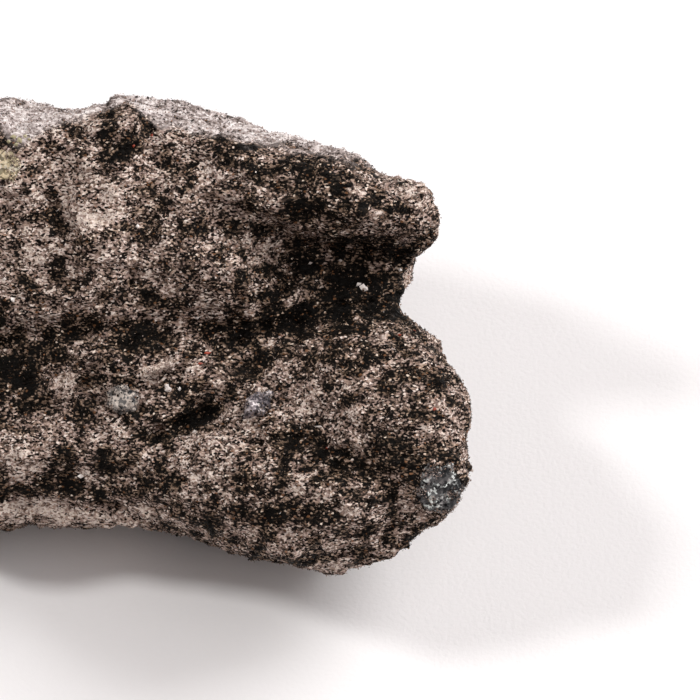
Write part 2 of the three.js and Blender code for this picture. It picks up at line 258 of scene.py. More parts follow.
RELIEF: tuple[Mound | Furrow | Ledge, ...] = (
    Ledge(((18.5, 15.0), (22.9, 13.0), (25.5, 11.3), (30.8, 11.1), (35.3, 10.3), (38.6, 8.6)), 1.9, 2.6),
    Ledge(((19.8, -13.1), (26.1, -12.8), (29.0, -13.8), (32.5, -15.6)), 1.0, 1.6),
    Ledge(((25.8, -15.3), (31.9, -16.5), (35.9, -17.3), (37.1, -18.8)), 0.9, 1.5),
    Ledge(((-13.1, -20.3), (-5.6, -20.9), (1.9, -21.9), (5.6, -23.8)), 0.9, 1.6),
    Ledge(((13.4, -11.3), (10.4, -13.0), (6.8, -14.0)), 1.4, 1.8),
    Ledge(((-12.0, 5.5), (-7.0, 3.6), (-1.5, 3.9)), 0.6, 1.4),
    Ledge(((20.0, -23.0), (27.0, -24.6), (34.0, -24.4)), 0.6, 1.4),
    Ledge(((-30.0, 9.0), (-24.0, 6.2), (-16.0, 5.4)), 1.1, 1.8),
    Ledge(((-40.0, -9.0), (-31.0, -12.5), (-20.0, -13.5)), 1.2, 1.9),
    Furrow(((35.9, 3.4), (30.6, 2.5), (24.4, 1.5), (19.6, 0.0), (16.9, -1.9)), 0.8, 1.5),
    Furrow(((16.9, -1.9), (11.9, 0.6), (7.0, -0.6)), 0.9, 0.8),
    Furrow(((2.0, -1.6), (-5.6, -0.6), (-13.1, -2.0), (-24, -1)), 1.5, 0.8),
    Furrow(((4.6, -4.4), (8.2, -2.9)), 0.5, 1.2),
    Furrow(((6.0, -6.4), (9.6, -4.8)), 0.5, 1.2),
    Furrow(((-3.5, -1.6), (-1.1, -0.1)), 0.4, 0.8),
    Furrow(((7.0, 6.8), (5.6, 4.4), (4.3, 2.5)), 0.38, 1.0),
    Furrow(((4.4, 9.4), (3.3, 6.4)), 0.38, 0.8),
    Furrow(((-6.5, 16.3), (-4.8, 12.1)), 0.8, 0.9),
    Furrow(((5.6, 25.6), (6.4, 23.8), (5.4, 21.5)), 0.6, 1.0),
    Furrow(((22.4, 11.3), (22.9, 8.5), (24.4, 5.6)), 0.8, 1.0),
    Mound((11.2, -10.9), (2.0, 1.0), 20, -1.4),
    Mound((7.1, -4.6), (2.4, 0.5), 28, 1.0),
    Mound((-5.0, -7.0), (2.6, 0.9), 38, 0.9),
    Mound((-1.8, -3.2), (2.8, 0.9), 55, 0.9),
    Mound((4.1, -1.2), (1.0, 0.8), 0, -1.2),
    Mound((-11.5, -5.5), (2.4, 2.2), 0, -1.0),
    Mound((-5.8, 13.6), (0.8, 2.6), 12, -0.9),
    Mound((22.3, 15.5), (1.6, 1.2), 20, 0.5),
    Mound((27.6, -20.0), (3.4, 1.8), -4, 0.9),
    Mound((30.0, 6.5), (4.0, 2.2), -5, -1.6),
    Mound((39.5, 15.5), (2.2, 2.0), 0, 0.6),
    Mound((0.0, -25.0), (8.0, 4.5), 0, -2.0),
)
"""Relief of the face that is finer than the frame's block, placed from the photograph."""


@dataclass(frozen=True)
class Push:
    """A stretch of the block's outline that is drawn a little out or in along the face.

    Attributes:
        at: Its centre (a, b) in mm.
        size: Its half widths in mm.
        shift: How far it moves, as (a, b) in mm.
    """

    at: tuple[float, float]
    size: tuple[float, float]
    shift: tuple[float, float]

    def moves(self, a: np.ndarray, b: np.ndarray) -> np.ndarray:
        """Rows of how far the places a, b move, as a, b, c in mm."""
        share = Mound(self.at, self.size, 0, 1.0).height(a, b)
        return share[:, None] * np.array([*self.shift, 0.0])


PUSHES: tuple[Push, ...] = (
    Push((43.0, 16.0), (6.0, 6.0), (1.3, 1.0)),
    Push((37.5, 1.5), (4.5, 4.0), (-1.7, 0.0)),
    Push((46.0, -15.5), (6.5, 7.0), (1.4, 0.0)),
    Push((39.0, -27.0), (8.0, 4.0), (-0.6, 0.5)),
    Push((42.0, 11.0), (3.0, 3.0), (1.0, 0.0)),
    Push((38.5, 19.5), (2.5, 2.5), (0.2, 0.8)),
    Push((42.5, 19.0), (2.2, 2.2), (-1.2, -0.6)),
    Push((31.0, 22.0), (5.0, 4.0), (0.0, 0.9)),
    Push((10.5, 27.5), (3.0, 4.0), (0.0, 0.7)),
    Push((-6.5, 28.0), (3.0, 4.0), (0.0, -0.6)),
    Push((43.5, -3.5), (2.5, 3.0), (-0.8, 0.0)),
    Push((39.0, -1.0), (2.5, 2.2), (-0.8, 0.0)),
    Push((44.5, -20.5), (3.5, 3.0), (-0.9, 0.0)),
    Push((34.0, -28.5), (4.0, 2.2), (0.5, -0.5)),
    Push((-13.0, 28.0), (9.0, 7.0), (0.0, 2.2)),
    Push((15.0, 28.0), (12.0, 5.0), (0.0, 0.7)),
)
"""Outline of the block, brought to the photograph's."""


# Painted shade and painted bounce light: many of the darker patches below lie over the pits, furrows and
# hollow that RELIEF cuts, or under its ledges, and darken them as shade would. The pale band along the
# lower-left underside rim is painted bounce light from the paper. The other patches are the stone's own
# paler or darker tone.
TINTS_AND_PAINTED_LIGHT_AND_SHADE: tuple[Mound, ...] = tuple(
    Mound((a, b), (long, wide), turn, change)
    for a, b, long, wide, turn, change in (
        (-2.0, 13.5, 8.5, 7.5, 0, 0.24), (15.5, 8.5, 6.5, 4.5, 15, 0.08),
        (38.5, 17.0, 3.5, 2.0, -30, 0.3), (27.5, -20.5, 4.2, 2.2, 0, 0.22),
        (22.0, -8.5, 6.0, 2.4, 0, 0.16), (-9.0, -15.5, 6.5, 3.0, 0, 0.2),
        # painted bounce light on the underside rim band, then painted shade in the band under the ledge
        # just above it
        (-6.0, -23.0, 11.0, 1.6, -4, 0.52), (-5.0, -19.8, 8.5, 0.9, -5, -0.26),
        (13.0, 18.0, 4.5, 3.5, 0, 0.1), (2.2, 23.8, 5.2, 3.6, 0, -0.08),
        (16.0, 17.0, 6.0, 4.0, 0, -0.05), (24.0, 19.5, 8.0, 3.0, -10, -0.16),
        # painted shade: the hollow under the upper-right shelf, then the valley crack below the upper
        # mass
        (31.0, 7.0, 7.0, 4.0, 0, -0.42), (24.0, 1.2, 12.0, 1.8, 6, -0.34),
        # painted shade: the long furrow across the middle, then the pit at (11, -11)
        (-2.0, -0.6, 12.0, 2.2, 0, -0.12), (11.0, -10.8, 3.2, 1.6, 20, -0.4),
        # painted shade under the lower-right ledge, then in the pit at (-6, 14)
        (30.0, -15.5, 7.0, 1.7, -12, -0.24), (-6.0, 13.8, 1.1, 3.0, 12, -0.5),
        (-2.9, 11.0, 0.9, 1.8, 0, -0.34), (5.4, 12.8, 1.6, 4.6, 12, -0.3),
        (11.0, 12.4, 2.4, 1.4, 30, -0.22), (7.1, -4.6, 2.6, 0.55, 28, 0.5),
        (-5.0, -7.0, 2.8, 1.1, 38, 0.42), (-1.8, -3.2, 2.8, 1.0, 55, 0.36),
        # painted shade in the furrow at (-9.5, -1.8)
        (-9.5, -1.8, 4.5, 1.2, 0, -0.32), (-9.5, 1.4, 3.6, 1.1, 0, 0.24),
        # painted shade in the pits at (-11.5, -5.5) and (4.1, -1.2)
        (-11.5, -6.0, 2.4, 2.6, 0, -0.45), (4.1, -1.2, 1.6, 1.0, 10, -0.42),
        (14.6, -13.0, 3.2, 1.3, 25, 0.42), (-11.5, -16.2, 3.0, 1.6, 0, 0.3),
        (2.0, -8.8, 2.4, 2.2, 0, 0.24), (26.5, -7.6, 3.2, 1.6, 15, 0.2),
        (31.0, -10.4, 2.4, 1.3, -10, 0.36), (29.6, 8.9, 2.0, 1.2, 0, 0.4),
        (27.0, 1.6, 1.8, 0.9, 0, 0.4), (22.5, -21.6, 2.4, 1.8, 0, -0.34),
        (30.6, -3.2, 4.0, 1.4, -18, -0.26), (41.0, -6.5, 1.6, 2.6, 0, -0.24),
        (20.0, 5.0, 3.4, 1.2, -20, -0.26), (-7.5, 5.2, 3.4, 1.0, -10, -0.28),
        (15.2, 16.0, 2.0, 1.4, 10, 0.32), (22.2, 16.4, 1.8, 1.2, -10, 0.28),
        # the patch at (25.8, 8.6) is painted shade under the upper-right shelf
        (26.4, 15.6, 1.8, 1.6, 0, -0.28), (25.8, 8.6, 2.6, 1.4, 15, -0.34),
        (-10.0, 12.0, 3.0, 2.4, 0, 0.3), (8.2, 23.6, 1.8, 1.4, 0, 0.32),
        # painted shade along the middle furrow and under the lower ledges, here and on the next line
        (3.5, -2.6, 6.0, 0.9, 0, -0.26), (7.3, -14.0, 1.8, 1.3, 20, -0.3),
        (22.4, -14.0, 2.2, 1.2, 0, -0.24), (29.2, -17.6, 3.0, 1.2, -10, -0.26),
        (37.6, -13.6, 1.8, 1.4, 0, -0.22), (35.0, -11.0, 4.0, 2.0, 0, 0.04),
        (17.0, -18.5, 6.0, 3.0, 0, 0.1),
    )
)
# Patches of the face made paler where the change is above 0 and darker where it is below. Some are the
# stone's own tone. Many are painted shade in its recesses and under its ledges, and one is painted bounce
# light on the underside rim.
"""Patches of the face with more pale grains, or more mica where the change is below 0."""


def link_new(name: str, data: bpy.types.ID | None = None) -> Piece:
    """Makes a new object in the scene.

    Args:
        name: Its name.
        data: Its mesh, light or camera.

    Returns:
        The object, at the origin.
    """
    made = bpy.data.objects.new(name, data)
    bpy.context.scene.collection.objects.link(made)
    return made


def select_only(*objects: Piece) -> None:
    """Selects some objects and makes the last one active.

    Args:
        *objects: What the next operator acts on.
    """
    bpy.ops.object.select_all(action="DESELECT")
    for piece in objects:
        piece.select_set(True)
    bpy.context.view_layer.objects.active = objects[-1]


def apply_modifier(piece: Piece, kind: str, **settings: object) -> None:
    """Adds a modifier to a piece and applies it at once.

    Args:
        piece: The mesh object to change.
        kind: The modifier's type, such as REMESH.
        **settings: Its properties.
    """
    modifier = piece.modifiers.new(kind.lower(), kind)
    for name, setting in settings.items():
        setattr(modifier, name, setting)
    select_only(piece)
    bpy.ops.object.modifier_apply(modifier=modifier.name)


class Texture(Enum):
    """Kinds of solid texture that roughen a piece."""

    CLOUDS = "CLOUDS"
    STUCCI = "STUCCI"
    VORONOI = "VORONOI"


@dataclass(frozen=True)
class Roughening:
    """One size of bump on a piece.

    Attributes:
        texture: The solid texture that makes the bumps.
        size_mm: Their wavelength.
        strength_mm: From the deepest to the highest, at most. Below 0 they point inwards.
        along_layers: Whether they are drawn out along the stone's layers.
        hard: Whether they have creases, as split stone does.
        level: Value of the texture at which the surface stays where it is.
    """

    texture: Texture
    size_mm: float
    strength_mm: float
    along_layers: bool = False
    hard: bool = False
    level: float = 0.5

    def apply(self, piece: Piece) -> None:
        """Adds the bumps.

        Args:
            piece: The mesh object to roughen.
        """
        texture = bpy.data.textures.new("bumps", self.texture.value)
        texture.noise_scale = self.size_mm * MM
        if self.hard:
            texture.noise_type = "HARD_NOISE"
        grid = link_new("bump_grid")
        if self.along_layers:
            stretch = Matrix.Diagonal((*FACE.layer_stretch, 1.0))
            grid.matrix_world = FACE.layer_turn().to_matrix().to_4x4() @ stretch
        bpy.context.view_layer.update()
        apply_modifier(
            piece,
            "DISPLACE",
            texture=texture,
            texture_coords="OBJECT",
            texture_coords_object=grid,
            strength=self.strength_mm * MM,
            mid_level=self.level,
        )
        bpy.data.objects.remove(grid)
        bpy.data.textures.remove(texture)


def copy_of_node(node: str, name: str) -> Piece:
    """Copies a frame node's mesh into a new object, with its loose triangles merged.

    Args:
        node: The frame's node.
        name: The new object's name.

    Returns:
        The new object, which rides on nothing yet.
    """
    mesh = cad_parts[node].data.copy()
    mesh.name = name
    mesh.materials.clear()
    piece = link_new(name, mesh)
    select_only(piece)
    bpy.ops.object.mode_set(mode="EDIT")
    bpy.ops.mesh.select_all(action="SELECT")
    bpy.ops.mesh.remove_doubles(threshold=0.001 * MM)
    bpy.ops.object.mode_set(mode="OBJECT")
    return piece


def read(
    items: bpy.types.bpy_prop_collection, name: str, width: int = 1, kind: type = float
) -> np.ndarray:
    """Reads one property of many items of a mesh.

    Args:
        items: The vertices, polygons or the like.
        name: The property.
        width: How many numbers it has.
        kind: Whether they are float or int.

    Returns:
        A number for each item, or a row of them.
    """
    values = np.empty(len(items) * width, kind)
    items.foreach_get(name, values)
    return values if width == 1 else values.reshape(-1, width)


def places_of(piece: Piece) -> np.ndarray:
    """Rows of x, y, z of a piece's vertices."""
    return read(piece.data.vertices, "co", 3)


def normals_of(piece: Piece) -> np.ndarray:
    """Rows of the unit normals of a piece's vertices."""
    return read(piece.data.vertex_normals, "vector", 3)


def move_vertices(piece: Piece, places: np.ndarray) -> None:
    """Puts a piece's vertices at new places."""
    piece.data.vertices.foreach_set("co", places.ravel())
    piece.data.update()


def write_attribute(piece: Piece, name: str, values: np.ndarray) -> None:
    """Stores one number per vertex, which materials can read by name."""
    attribute = piece.data.attributes.new(name, "FLOAT", "POINT")
    attribute.data.foreach_set("value", values.astype(np.float32))


def finish_piece(piece: Piece, material: bpy.types.Material) -> None:
    """Dresses a piece, ties it to the frame and reports it.

    Args:
        piece: The finished mesh object.
        material: Its only material.
    """
    piece.data.materials.clear()
    piece.data.materials.append(material)
    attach(piece, BODY)
    triangles = sum(len(polygon.vertices) - 2 for polygon in piece.data.polygons)
    LOG.info("%s: %d triangles", piece.name, triangles)


class Value:
    """A number in a material's nodes, with its arithmetic written as Python expressions."""

    def __init__(self, nodes: "MaterialNodes", socket: Socket) -> None:
        """Wraps an output socket that holds a number."""
        self.nodes = nodes
        self.socket = socket

    def _math(self, operation: str, first: object, second: object) -> "Value":
        """A Math node on two numbers, each a Value or a plain number."""
        made = self.nodes.node("ShaderNodeMath", {"operation": operation}, {0: first, 1: second})
        return Value(self.nodes, made.outputs[0])

    def __add__(self, other: object) -> "Value":
        """self + other, or other + self."""
        return self._math("ADD", self, other)

    def __sub__(self, other: object) -> "Value":
        """self - other."""
        return self._math("SUBTRACT", self, other)

    def __rsub__(self, other: object) -> "Value":
        """other - self."""
        return self._math("SUBTRACT", other, self)

    def __mul__(self, other: object) -> "Value":
        """self * other, or other * self."""
        return self._math("MULTIPLY", self, other)

    __radd__ = __add__
    __rmul__ = __mul__

    def graded(self, low: float, high: float) -> "Value":
        """0 at low and below, 1 at high and above, and smooth between."""
        settings = {"interpolation_type": "SMOOTHSTEP"}
        made = self.nodes.node("ShaderNodeMapRange", settings, {0: self, 1: low, 2: high, 3: 0.0, 4: 1.0})
        return Value(self.nodes, made.outputs[0])


class MaterialNodes:
    """The nodes of one material, with the way to make any of them."""

    def __init__(self, name: str) -> None:
        """Starts a material with a Principled shader and an output.

        Args:
            name: The material's name.
        """
        self.material = bpy.data.materials.new(name)
        self.material.use_nodes = True
        self.tree = self.material.node_tree
        self.tree.nodes.clear()
        self.shader = self.node("ShaderNodeBsdfPrincipled")
        output = self.node("ShaderNodeOutputMaterial")
        self.tree.links.new(self.shader.outputs[0], output.inputs["Surface"])
        self.places = self.node("ShaderNodeTexCoord").outputs["Object"]

    def node(
        self,
        kind: str,
        settings: Mapping[str, object] | None = None,
        inputs: Mapping[str | int, object] | None = None,
    ) -> bpy.types.Node:
        """Makes a node.

        Args:
            kind: The node's type.
            settings: Its properties, set first; "stops" are a colour ramp's (position, colour) pairs.
            inputs: What goes into its sockets: a Value, a socket or a plain value.

        Returns:
            The new node.
        """
        made = self.tree.nodes.new(kind)
        for name, setting in (settings or {}).items():
            if name == "stops":
                self._set_stops(made.color_ramp, setting)
            else:
                setattr(made, name, setting)
        for name, given in (inputs or {}).items():
            self.feed(made.inputs[name], given)
        return made

    @staticmethod
    def _set_stops(ramp: bpy.types.ColorRamp, stops: Stops) -> None:
        """Gives a colour ramp its stops."""
        while len(ramp.elements) < len(stops):
            ramp.elements.new(1.0)
        for element, (position, colour) in zip(ramp.elements, stops):
            element.position = position
            element.color = (*colour, 1.0)

    def feed(self, socket: Socket, given: object) -> None:
        """Links a Value or a socket to an input, or sets the input's own value."""
        if isinstance(given, Value):
            self.tree.links.new(given.socket, socket)
        elif isinstance(given, Socket):
            self.tree.links.new(given, socket)
        elif socket.type == "RGBA" and len(given) == 3:
            socket.default_value = (*given, 1.0)
        else:
            socket.default_value = given

    def finish(self, **inputs: object) -> bpy.types.Material:
        """Feeds the shader's sockets, named with underscores for spaces, and gives the material."""
        for name, given in inputs.items():
            self.feed(self.shader.inputs[name.replace("_", " ").title().replace("Ior", "IOR")], given)
        return self.material

    def noise(self, size_mm: float, detail: float = 2.0, stretch: float = 1.0) -> Value:
        """Smooth noise of a size in mm, drawn out some times along the layers."""
        inputs = {"Vector": self._drawn_out(stretch), "Scale": 1.0 / (size_mm * MM), "Detail": detail}
        return Value(self, self.node("ShaderNodeTexNoise", inputs=inputs).outputs[0])

    def cells(self, size_mm: float, stretch: float = 1.0) -> bpy.types.Node:
        """A Voronoi node with cells of a size in mm, drawn out some times along the layers."""
        inputs = {"Vector": self._drawn_out(stretch), "Scale": 1.0 / (size_mm * MM)}
        return self.node("ShaderNodeTexVoronoi", inputs=inputs)

    def _drawn_out(self, stretch: float) -> Socket:
        """Object coordinates, turned and drawn out along the stone's layers if stretch isn't 1."""
        if stretch == 1.0:
            return self.places
        inputs = {"Vector": self.places, "Rotation": FACE.layer_turn().inverted().to_euler()}
        turned = self.node("ShaderNodeMapping", inputs=inputs)
        inputs = {"Vector": turned.outputs[0], "Scale": (1 / stretch, 1 / stretch, 1.0)}
        return self.node("ShaderNodeMapping", inputs=inputs).outputs[0]

    def attribute(self, name: str) -> Value:
        """The number that a piece's vertices store under a name."""
        made = self.node("ShaderNodeAttribute", {"attribute_name": name})
        return Value(self, made.outputs["Fac"])

    def ramp(self, value: Value, stops: Stops) -> Socket:
        """The colour that a value has between stops."""
        return self.node("ShaderNodeValToRGB", {"stops": stops}, {0: value}).outputs[0]

    def mix(self, share: Value, first: object, second: object) -> Socket:
        """A colour between two, by a share of the second."""
        made = self.node("ShaderNodeMix", {"data_type": "RGBA"}, {0: share, 6: first, 7: second})
        return made.outputs[2]

    def channels(self, colour: Socket) -> tuple[Value, ...]:
        """The red, green and blue of a colour."""
        made = self.node("ShaderNodeSeparateColor", inputs={0: colour})
        return tuple(Value(self, output) for output in made.outputs)

    def vector_math(self, operation: str, inputs: Mapping[str | int, object]) -> Socket:
        """The result of a Vector Math node."""
        return self.node("ShaderNodeVectorMath", {"operation": operation}, inputs).outputs[0]

    def tilted_normal(self, cell_colour: Socket, amount: float) -> Socket:
        """The surface normal leant another way in each cell, as grains lie."""
        lean = self.vector_math("SUBTRACT", {0: cell_colour, 1: (0.5, 0.5, 0.5)})
        scaled = self.vector_math("SCALE", {0: lean, "Scale": amount})
        normal = self.node("ShaderNodeNewGeometry").outputs["Normal"]
        return self.vector_math("NORMALIZE", {0: self.vector_math("ADD", {0: normal, 1: scaled})})

    def bump(self, height: Value, depth_mm: float, normal: Socket | None = None) -> Socket:
        """A normal bumped by a height of 0 to 1, which stands for a depth in mm."""
        base = {} if normal is None else {"Normal": normal}
        inputs = {"Height": height, "Distance": depth_mm * MM, **base}
        return self.node("ShaderNodeBump", inputs=inputs).outputs[0]


@dataclass(frozen=True)
class SchistFinish:
    """Salt-and-pepper stone: black mica and beige quartz and feldspar, in grains of a fifth of a mm.

    Attributes:
        grain_mm: Size of a grain.
        grain_stretch: How far a grain is drawn out along the layers.
        grain_tilt: How far the grains' faces lean from the surface.
        grain_relief_mm: Height of the relief between grains.
        streak_mm: Size of the streaks of like grains along the layers.
        streak_stretch: How far they are drawn out.
        clot_mm: Size of the small clots of like grains.
        clump_mm: Size of the larger clumps of like grains.
        stops: Colours of the grains in pale patches, from mica to the palest feldspar.
        warm_stops: The same in dark patches, where the few pale grains are ochre.
        slope_stops_and_painted_light: The same on the upper slope, which is paler partly in its own
            silvery tone and partly as painted light where it faces the lights.
        rust: Colour of the few rusty grains.
    """

    grain_mm: float = 0.185
    grain_stretch: float = 1.7
    grain_tilt: float = 0.9
    grain_relief_mm: float = 0.16
    streak_mm: float = 0.8
    streak_stretch: float = 3.0
    clot_mm: float = 0.55
    clump_mm: float = 1.3
    stops: Stops = (
        (0.0, (0.003, 0.002, 0.0015)),
        (0.36, (0.008, 0.0055, 0.0045)),
        (0.47, (0.050, 0.034, 0.028)),
        (0.60, (0.180, 0.126, 0.106)),
        (0.78, (0.370, 0.268, 0.232)),
        (0.92, (0.560, 0.440, 0.390)),
        (1.0, (0.760, 0.660, 0.600)),
    )
    warm_stops: Stops = (
        (0.0, (0.002, 0.0015, 0.001)),
        (0.38, (0.006, 0.004, 0.0025)),
        (0.50, (0.052, 0.034, 0.022)),
        (0.63, (0.190, 0.128, 0.088)),
        (0.80, (0.400, 0.285, 0.205)),
        (1.0, (0.720, 0.600, 0.490)),
    )
    slope_stops_and_painted_light: Stops = (
        (0.0, (0.035, 0.028, 0.025)),
        (0.25, (0.180, 0.145, 0.132)),
        (0.5, (0.430, 0.365, 0.345)),
        (0.75, (0.660, 0.590, 0.570)),
        (1.0, (0.860, 0.810, 0.790)),
    )
    rust: Colour = (0.240, 0.110, 0.050)

    def material(self) -> bpy.types.Material:
        """Makes the stone's material, which reads the attributes paleness and slope."""
        nodes = MaterialNodes("schist_stone")
        cell = nodes.cells(self.grain_mm, self.grain_stretch)
        tone, hue, shine = nodes.channels(cell.outputs["Color"])
        pale = nodes.attribute("paleness") - 0.5
        streaks = nodes.noise(self.streak_mm, 2.0, self.streak_stretch) - 0.5
        clots = nodes.noise(self.clot_mm, 3.0) - 0.5
        clumps = nodes.noise(self.clump_mm, 2.0) - 0.5
        specks = shine.graded(0.9, 0.94) * 0.34 - 0.32 + hue.graded(0.13, 0.18) * 0.32
        # The paleness attribute holds painted shade in the face's recesses and under its ledges and
        # painted bounce light on the underside rim. Here it darkens or lightens the grains and picks the
        # warm ramp.
        level = tone * 0.74 + 0.115 + streaks * 0.2 + clots * 0.68 + clumps * 0.5 + pale * 1.1 + specks
        patch = nodes.attribute("paleness").graded(0.3, 0.62) * (hue * 0.8 + 0.3)
        stone = nodes.mix(patch, nodes.ramp(level, self.warm_stops), nodes.ramp(level, self.stops))
        # Partly painted light: the upper slope takes a much paler ramp where it turns up toward the
        # lights, besides its own silvery, streaky tone.
        bright = nodes.ramp(level * 0.75 + 0.2 + streaks * 0.9, self.slope_stops_and_painted_light)
        colour = nodes.mix(nodes.attribute("slope"), stone, bright)
        rusty = hue.graded(0.982, 0.988)
        colour = nodes.mix(rusty * 0.6, colour, self.rust)
        leant = nodes.tilted_normal(cell.outputs["Color"], self.grain_tilt)
        grain = Value(nodes, cell.outputs["Distance"])
        height = tone * 0.6 - grain * 0.4 + nodes.noise(0.18, 2.0) * 0.5
        return nodes.finish(
            base_color=colour,
            roughness=0.5 + shine * 0.35,
            normal=nodes.bump(height, self.grain_relief_mm, leant),
            ior=1.2,
        )


@dataclass(frozen=True)
class GrainFinish:
    """Finish of one kind of loose-looking grain or flake.

    Attributes:
        name: The material's name.
        stops: Colours over the grains' own tone, from 0 to 1.
        roughness: Roughness of its faces.
        ior: How strongly it mirrors.
        warmth: Colour that it leans to in dark patches of the stone, if it does.
        mottle_mm: Size of the spots on it.
    """

    name: str
    stops: Stops
    roughness: float
    ior: float = 1.55
    warmth: Colour | None = None
    mottle_mm: float = 0.12

    def material(self) -> bpy.types.Material:
        """Makes the grains' material, which reads the attributes tone and patch."""
        nodes = MaterialNodes(self.name)
        colour = nodes.ramp(nodes.attribute("tone"), self.stops)
        if self.warmth is not None:
            lean = nodes.noise(0.35, 1.0) * 1.7 - 0.2 - nodes.attribute("patch").graded(0.3, 0.62) * 0.6
            colour = nodes.mix(lean, colour, self.warmth)
        mottle = nodes.noise(self.mottle_mm, 1.0)
        return nodes.finish(
            base_color=nodes.mix(mottle * 0.35, colour, self.stops[0][1]),
            roughness=self.roughness - 0.1 + mottle * 0.2,
            ior=self.ior,
        )


@dataclass(frozen=True)
class CrystalFinish:
    """Glassy crystal with cloudy patches and pale flecks.

    Attributes:
        name: The material's name.
        deep: Colour of its clear, dark parts.
        cloudy: Colour of its milky parts.
        fleck: Colour of the pale flecks in it.
        cloud_level: Noise level above which it is milky: lower is milkier.
        fleck_level: Share of its cells that aren't pale flecks.
        transmission: Share of light that goes in.
        sheen: Strength of its mirror, where 0.5 is that of whole crystal.
        ior: How strongly it bends light.
        cell_mm: Size of the small faces that it is broken into.
        cloud_mm: Size of its milky parts.
        fleck_mm: Size of the groups that its flecks stand in.
        relief_mm: Height of the small faces.
    """

    name: str
    deep: Colour
    cloudy: Colour
    fleck: Colour
    cloud_level: float
    fleck_level: float
    transmission: float
    sheen: float = 0.1
    ior: float = 1.75
    cell_mm: float = 0.3
    cloud_mm: float = 1.8
    fleck_mm: float = 1.5
    relief_mm: float = 0.1

    def material(self) -> bpy.types.Material:
        """Makes the crystal's material."""
        nodes = MaterialNodes(self.name)
        cell = nodes.cells(self.cell_mm)
        tone, hue, shine = nodes.channels(cell.outputs["Color"])
        milk = nodes.noise(self.cloud_mm, 2.0) + tone * 0.2
        cloud = milk.graded(self.cloud_level, self.cloud_level + 0.14)
        colour = nodes.mix(cloud, self.deep, self.cloudy)
        groups = nodes.noise(self.fleck_mm, 2.0).graded(0.5, 0.6)
        spots = groups * hue.graded(self.fleck_level, self.fleck_level + 0.25)
        colour = nodes.mix(spots, colour, self.fleck)
        colour = nodes.mix(tone.graded(0.35, 0.7) * 0.85, colour, self.deep)
        leant = nodes.tilted_normal(cell.outputs["Color"], 0.7)
        height = nodes.noise(0.5, 3.0) + shine * 0.3
        return nodes.finish(
            base_color=colour,
            roughness=0.16 + cloud * 0.3 + spots * 0.2,
            normal=nodes.bump(height, self.relief_mm, leant),
            ior=self.ior,
            specular_ior_level=self.sheen,
            transmission_weight=self.transmission,
        )


